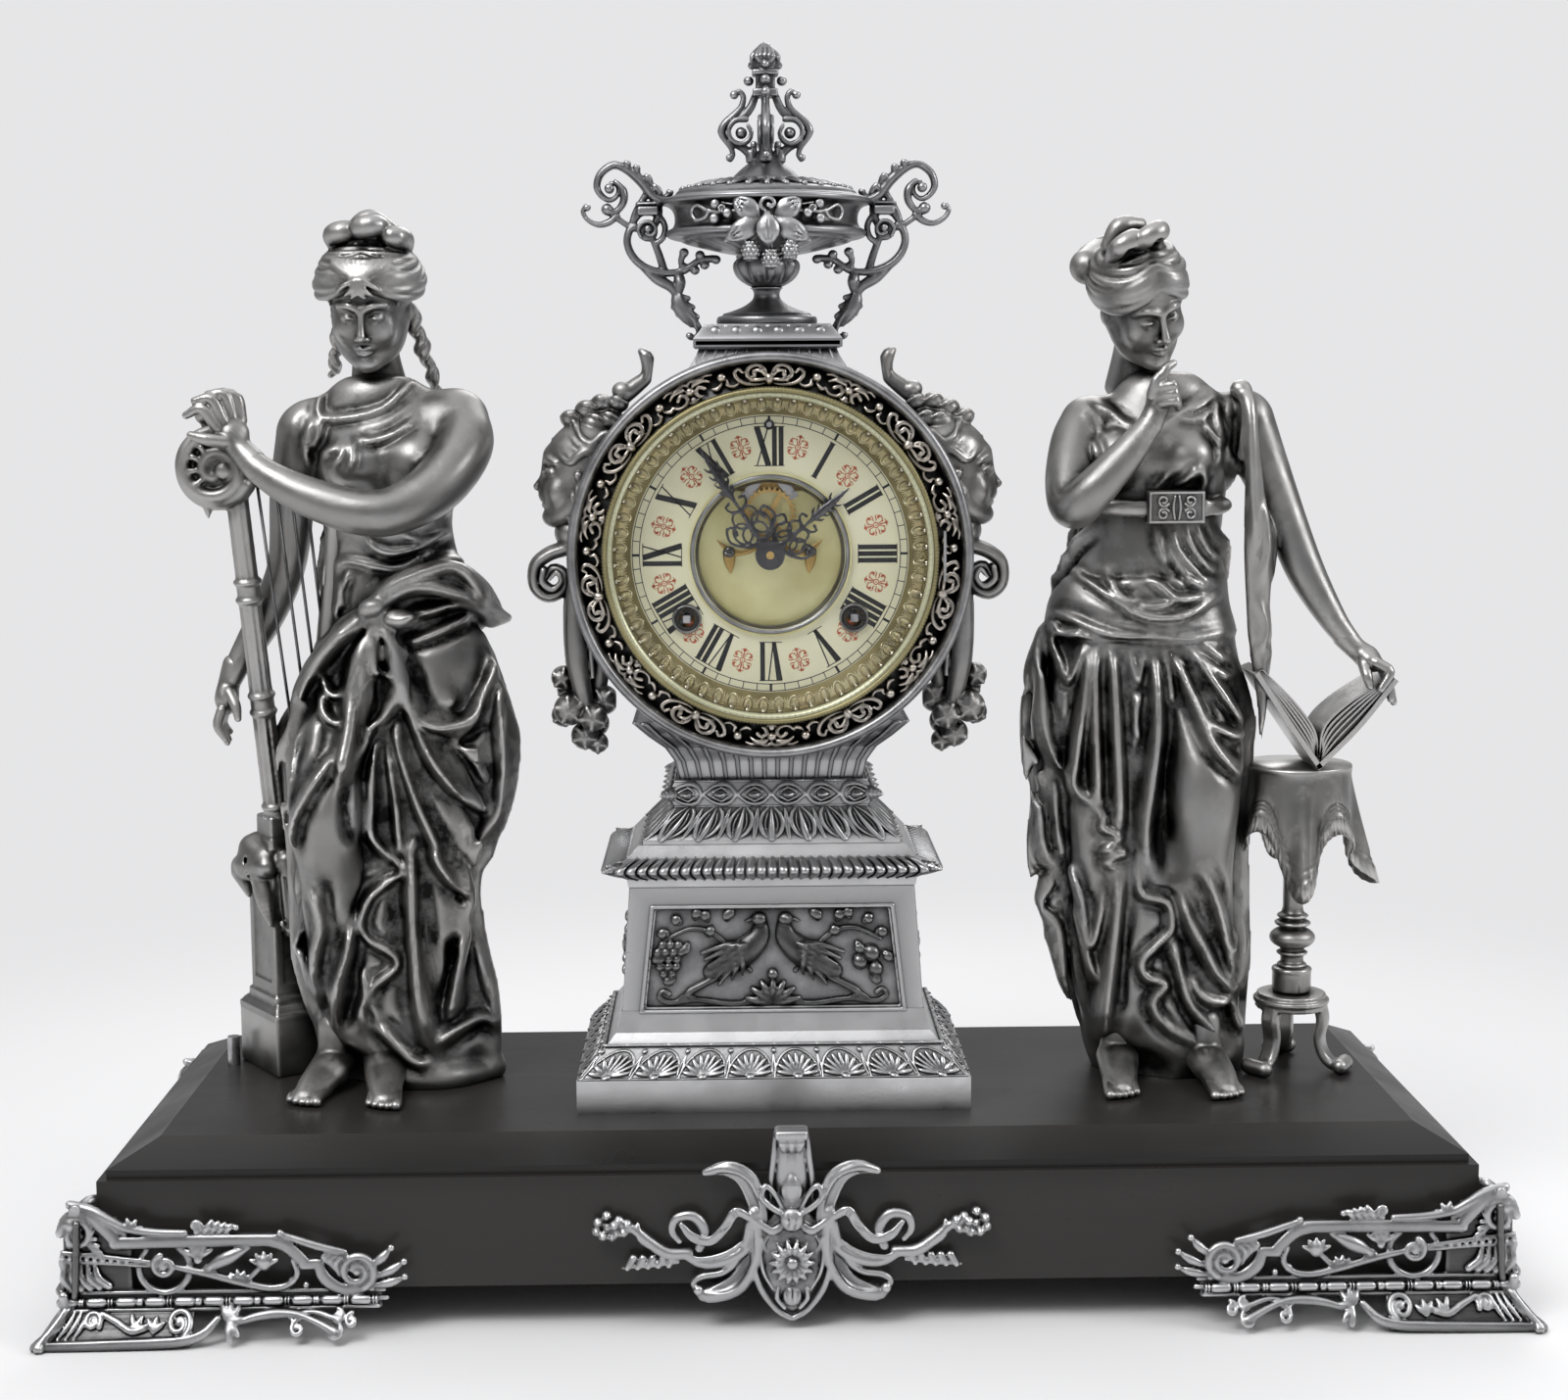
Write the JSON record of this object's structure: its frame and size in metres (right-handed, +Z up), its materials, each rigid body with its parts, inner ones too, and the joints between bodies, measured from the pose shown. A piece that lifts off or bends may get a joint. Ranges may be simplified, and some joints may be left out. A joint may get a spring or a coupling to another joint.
{
  "type": "figural clock",
  "caption": "Figural mantel clock: cast case with a drum, open dial and urn on a pedestal, between a harpist and a reader, on a black base with pierced feet.",
  "frame": {"origin": "centre of the bounding box at floor height, under the middle of the base", "axes": "+Z up, +X to the viewer's right, the dial faces -Y"},
  "size_m": [0.551, 0.226, 0.4773],
  "materials": {
    "black_wood": "satin black lacquer",
    "antique_silver": "antique silver on cast spelter, dark in the recesses",
    "dark_silver": "dark gunmetal plate",
    "figure_silver": "dark antique silver, rubbed bright on the high points",
    "dark_relief": "blackened casting",
    "relief_ring": "antique silver with a bronze tint",
    "porcelain": "cream fired enamel, glossy",
    "champagne": "silvered brass, soft gloss",
    "brass": "polished and aged",
    "steel": "bright",
    "dark_steel": "blued to black",
    "glass": "clear"
  },
  "bodies": {
    "clock_body": {"base_rails": "black_wood", "base_top": "black_wood", "foot_front_left": "antique_silver", "foot_front_right": "antique_silver", "foot_back_left": "antique_silver", "foot_back_right": "antique_silver", "base_ornament": "antique_silver", "fixing_screws": "steel", "pedestal_plinth": "antique_silver", "pedestal_die": "antique_silver", "relief_plaques": "dark_relief", "pedestal_top": "antique_silver", "lower_neck": "antique_silver", "drum_shell": "dark_silver", "drum_front_ring": "relief_ring", "cap_neck": "antique_silver", "urn_stem": "dark_silver", "urn_bowl": "dark_silver", "urn_lid": "dark_silver", "urn_finial": "antique_silver", "urn_handles": "antique_silver", "urn_fruit": "antique_silver", "side_masks": "antique_silver", "dial_pan": "brass", "chapter_ring": "porcelain", "centre_pan": "champagne", "winding_eyelets": "steel", "rehaut_ring": "champagne", "hinge_pins": "steel", "movement_frame": "brass", "gong": "steel", "musician_gown": "figure_silver", "musician_head": "figure_silver", "musician_arms": "figure_silver", "harp_frame": "figure_silver", "harp_strings": "steel", "harp_block": "figure_silver", "reader_gown": "figure_silver", "reader_head": "figure_silver", "reader_arms": "figure_silver", "side_table": "figure_silver", "book": "figure_silver"},
    "bezel_door": {"bezel_ring": "champagne", "bezel_glass": "glass"},
    "back_cover": {"back_cover": "brass"},
    "minute_work": {"minute_hand": "dark_steel", "hand_nut": "dark_steel", "centre_arbor": "brass"},
    "hour_work": {"hour_hand": "dark_steel", "hour_wheel": "brass"},
    "motion_wheel": {"minute_wheel": "brass"},
    "great_wheel": {"great_wheel": "brass"},
    "third_wheel": {"third_wheel": "brass"},
    "escape_wheel": {"escape_wheel": "brass"},
    "pallets": {"pallet_anchor": "steel"},
    "pendulum": {"pendulum": "brass"},
    "winding_left": {"winding_arbor_left": "steel"},
    "winding_right": {"winding_arbor_right": "steel"},
    "regulator": {"regulator_arbor": "steel"},
    "hammer": {"strike_hammer": "brass"}
  },
  "joints": [
    {"name": "bezel_swing", "type": "hinge", "parent": "clock_body", "child": "bezel_door", "pos_m": [0.0593, -0.0578, 0.2826], "axis": [0, 0, 1], "range_deg": [0, 110]},
    {"name": "back_cover_swing", "type": "hinge", "parent": "clock_body", "child": "back_cover", "pos_m": [0.054, 0.0534, 0.2826], "axis": [0, 0, -1], "range_deg": [0, 100]},
    {"name": "minute_turn", "type": "hinge", "parent": "clock_body", "child": "minute_work", "pos_m": [-0.0055, -0.03, 0.2826], "axis": [0, 1, 0], "continuous": true},
    {"name": "hour_turn", "type": "hinge", "parent": "clock_body", "child": "hour_work", "pos_m": [-0.0055, -0.036, 0.2826], "axis": [0, 1, 0], "continuous": true},
    {"name": "motion_turn", "type": "hinge", "parent": "clock_body", "child": "motion_wheel", "pos_m": [-0.01398, -0.029, 0.27411], "axis": [0, 1, 0], "continuous": true},
    {"name": "great_turn", "type": "hinge", "parent": "clock_body", "child": "great_wheel", "pos_m": [0.0262, 0.006, 0.2584], "axis": [0, 1, 0], "continuous": true},
    {"name": "third_turn", "type": "hinge", "parent": "clock_body", "child": "third_wheel", "pos_m": [-0.01758, -0.01, 0.29062], "axis": [0, 1, 0], "continuous": true},
    {"name": "escape_turn", "type": "hinge", "parent": "clock_body", "child": "escape_wheel", "pos_m": [-0.0055, -0.02, 0.2977], "axis": [0, 1, 0], "continuous": true},
    {"name": "pendulum_swing", "type": "hinge", "parent": "clock_body", "child": "pendulum", "pos_m": [-0.0055, 0.021, 0.3141], "axis": [0, 1, 0], "range_deg": [-4, 4]},
    {"name": "pallet_rock", "type": "hinge", "parent": "clock_body", "child": "pallets", "pos_m": [-0.0055, -0.01, 0.3141], "axis": [0, 1, 0], "range_deg": [-4, 4]},
    {"name": "winding_left_turn", "type": "hinge", "parent": "clock_body", "child": "winding_left", "pos_m": [-0.0372, -0.01, 0.2584], "axis": [0, 1, 0], "continuous": true},
    {"name": "winding_right_turn", "type": "hinge", "parent": "clock_body", "child": "winding_right", "pos_m": [0.0262, -0.01, 0.2584], "axis": [0, 1, 0], "continuous": true},
    {"name": "regulator_turn", "type": "hinge", "parent": "clock_body", "child": "regulator", "pos_m": [-0.0055, -0.035, 0.3314], "axis": [0, 1, 0], "range_deg": [-180, 180]},
    {"name": "hammer_swing", "type": "hinge", "parent": "clock_body", "child": "hammer", "pos_m": [0.0365, 0.032, 0.3126], "axis": [0, -1, 0], "range_deg": [0, 12], "stiffness_Nm_per_rad": 0.01}
  ],
  "couplings": [
    {"joint": "hour_turn", "follows": "minute_turn", "ratio": 0.083333},
    {"joint": "motion_turn", "follows": "minute_turn", "ratio": -0.33333},
    {"joint": "great_turn", "follows": "minute_turn", "ratio": -0.39286},
    {"joint": "third_turn", "follows": "minute_turn", "ratio": -4.8},
    {"joint": "escape_turn", "follows": "minute_turn", "ratio": 28.8},
    {"joint": "pallet_rock", "follows": "pendulum_swing", "ratio": 1}
  ]
}
